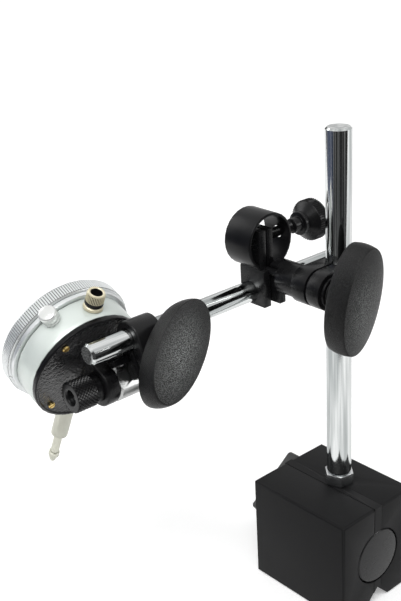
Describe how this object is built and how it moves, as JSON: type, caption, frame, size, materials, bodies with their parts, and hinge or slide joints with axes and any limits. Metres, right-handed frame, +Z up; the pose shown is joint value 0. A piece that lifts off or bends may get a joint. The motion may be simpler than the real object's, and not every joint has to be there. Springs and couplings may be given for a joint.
{
  "type": "dial indicator with magnetic base",
  "caption": "Plunger dial indicator held by its back lug on a jointed arm and column with wing knobs and a fine adjuster, on a switchable vee-grooved magnetic base.",
  "frame": {"origin": "centre of the bounding box's underside, on the level of the pole soles", "axes": "+Z up along the column; the arm runs along Y with the dial at -Y; +X towards the wing knob on the column clamp"},
  "size_m": [0.1189, 0.1774, 0.2343],
  "materials": {
    "pole_paint": "matt black enamel on steel",
    "brass": "turned",
    "black_steel": "blackened, machined",
    "magnet": "sintered magnet body",
    "black_plastic": "fine grained",
    "zinc": "bright zinc",
    "chrome": "polished",
    "black_paint": "matt black enamel",
    "satin": "satin pale grey green lacquer",
    "nickel": "warm nickel plate",
    "spring_steel": "plain",
    "bezel_metal": "satin chrome",
    "glass": "clear",
    "white_card": "white lacquer",
    "pointer_black": "black"
  },
  "bodies": {
    "base": {"near_pole": "pole_paint", "far_pole": "pole_paint", "upper_spacer": "brass", "lower_spacer": "brass", "switch_side_cap": "black_steel", "blind_side_cap": "black_steel", "column_nut": "zinc"},
    "switch": {"magnet_rotor": "magnet", "switch_lever": "black_plastic", "lever_screw": "zinc"},
    "column": {"column": "chrome"},
    "column_clamp": {"column_clamp": "black_steel", "column_washer": "black_steel", "cross_bolt": "zinc"},
    "column_knob": {"column_knob": "black_plastic"},
    "adjuster": {"adjuster_body": "black_steel", "adjuster_ring": "black_paint", "adjuster_spring": "spring_steel"},
    "adjuster_screw": {"adjuster_screw": "black_steel"},
    "arm_holder": {"arm_holder": "black_steel", "pivot_pin": "zinc"},
    "arm": {"arm_rod": "chrome"},
    "end_clamp": {"end_clamp": "black_steel", "end_washer": "black_steel", "grip_block": "zinc"},
    "end_knob": {"end_knob": "black_plastic"},
    "barrel": {"end_bolt": "zinc", "lug_barrel": "zinc", "lug_stud": "zinc"},
    "lug_nut": {"lug_nut": "black_steel"},
    "dial": {"back_cover": "black_paint", "dial_case": "satin", "cover_screw_1": "brass", "cover_screw_2": "brass", "cover_screw_3": "brass", "cover_screw_4": "brass", "stem": "nickel", "cap_bush": "nickel", "front_plate": "brass", "rear_plate": "brass", "guide_rail": "brass", "inner_dial": "white_card", "bezel_clip": "chrome", "return_spring": "spring_steel"},
    "bezel": {"bezel": "bezel_metal", "crystal": "glass", "scale_ring": "white_card"},
    "bezel_screw": {"bezel_screw": "chrome"},
    "spindle": {"spindle": "zinc", "contact_point": "nickel", "spindle_cap": "nickel", "guide_pin": "spring_steel"},
    "rack_arbor": {"rack_arbor": "spring_steel"},
    "centre_arbor": {"centre_arbor": "spring_steel", "main_pointer": "pointer_black"},
    "counter_arbor": {"counter_arbor": "spring_steel", "counter_pointer": "pointer_black"}
  },
  "joints": [
    {"name": "magnet_switch", "type": "hinge", "parent": "base", "child": "switch", "pos_m": [-0.00099, 0.04196, 0.0272], "axis": [1, 0, 0], "range_deg": [0, 110]},
    {"name": "column_turn", "type": "hinge", "parent": "base", "child": "column", "pos_m": [0.02971, 0.04666, 0.061], "axis": [0, 0, 1], "range_deg": [-180, 180]},
    {"name": "clamp_height", "type": "slide", "parent": "column", "child": "column_clamp", "axis": [0, 0, 1], "range_m": [-0.064, 0.06]},
    {"name": "column_knob_turn", "type": "hinge", "parent": "column_clamp", "child": "column_knob", "pos_m": [0.04026, 0.03226, 0.1635], "axis": [1, 0, 0], "range_deg": [0, 180]},
    {"name": "arm_lift", "type": "hinge", "parent": "column_clamp", "child": "adjuster", "pos_m": [0.02096, 0.03226, 0.1635], "axis": [1, 0, 0], "range_deg": [-60, 22]},
    {"name": "fine_tilt", "type": "hinge", "parent": "adjuster", "child": "arm_holder", "pos_m": [-0.00449, 0.02726, 0.1665], "axis": [1, 0, 0], "range_deg": [-0.55, 1.6], "deforming": ["adjuster_spring"]},
    {"name": "adjuster_turn", "type": "hinge", "parent": "adjuster", "child": "adjuster_screw", "pos_m": [-0.00469, 0.02726, 0.1799], "axis": [0, -1, 0], "range_deg": [-58.88, 169.39]},
    {"name": "arm_reach", "type": "slide", "parent": "arm_holder", "child": "arm", "axis": [0, 1, 0], "range_m": [-0.05, 0.03]},
    {"name": "arm_roll", "type": "hinge", "parent": "arm", "child": "end_clamp", "pos_m": [-0.00449, -0.04324, 0.1553], "axis": [0, 1, 0], "range_deg": [-90, 90]},
    {"name": "end_knob_turn", "type": "hinge", "parent": "end_clamp", "child": "end_knob", "pos_m": [0.00941, -0.04324, 0.14986], "axis": [0.9063, 0, 0.4226], "range_deg": [0, 180]},
    {"name": "barrel_swivel", "type": "hinge", "parent": "end_clamp", "child": "barrel", "pos_m": [-0.00736, -0.04324, 0.14205], "axis": [0.9063, 0, 0.4226], "range_deg": [-12, 12]},
    {"name": "lug_nut_turn", "type": "hinge", "parent": "barrel", "child": "lug_nut", "pos_m": [-0.01294, -0.06334, 0.13415], "axis": [0, -1, 0], "range_deg": [0, 360]},
    {"name": "dial_tilt", "type": "hinge", "parent": "barrel", "child": "dial", "pos_m": [-0.01294, -0.05944, 0.13415], "axis": [0, 1, 0], "range_deg": [-45, 2]},
    {"name": "bezel_turn", "type": "hinge", "parent": "dial", "child": "bezel", "pos_m": [-0.04641, -0.05713, 0.14814], "axis": [-0.9217, 0.0436, 0.3855], "range_deg": [-180, 180]},
    {"name": "bezel_screw_turn", "type": "hinge", "parent": "dial", "child": "bezel_screw", "pos_m": [-0.02604, -0.074, 0.16735], "axis": [0.3034, -0.5383, 0.7863], "range_deg": [0, 180]},
    {"name": "spindle_travel", "type": "slide", "parent": "dial", "child": "spindle", "axis": [0.3879, 0.0766, 0.9185], "range_m": [0, 0.01], "stiffness_N_per_m": 35, "springref_m": -0.014, "deforming": ["return_spring"]},
    {"name": "rack_arbor_turn", "type": "hinge", "parent": "dial", "child": "rack_arbor", "pos_m": [-0.03191, -0.05379, 0.15363], "axis": [-0.9217, 0.0436, 0.3855], "range_deg": [-1, 361]},
    {"name": "pointer_turn", "type": "hinge", "parent": "dial", "child": "centre_arbor", "pos_m": [-0.04281, -0.0573, 0.14664], "axis": [-0.9217, 0.0436, 0.3855], "range_deg": [-3605, 5]},
    {"name": "counter_turn", "type": "hinge", "parent": "dial", "child": "counter_arbor", "pos_m": [-0.04641, -0.06212, 0.13703], "axis": [-0.9217, 0.0436, 0.3855], "range_deg": [-1, 361]}
  ],
  "couplings": [
    {"joint": "adjuster_turn", "follows": "fine_tilt", "ratio": 105.24},
    {"joint": "rack_arbor_turn", "follows": "spindle_travel", "rad_per_m": 628.32},
    {"joint": "pointer_turn", "follows": "spindle_travel", "rad_per_m": -6283.2},
    {"joint": "counter_turn", "follows": "spindle_travel", "rad_per_m": 628.32}
  ]
}
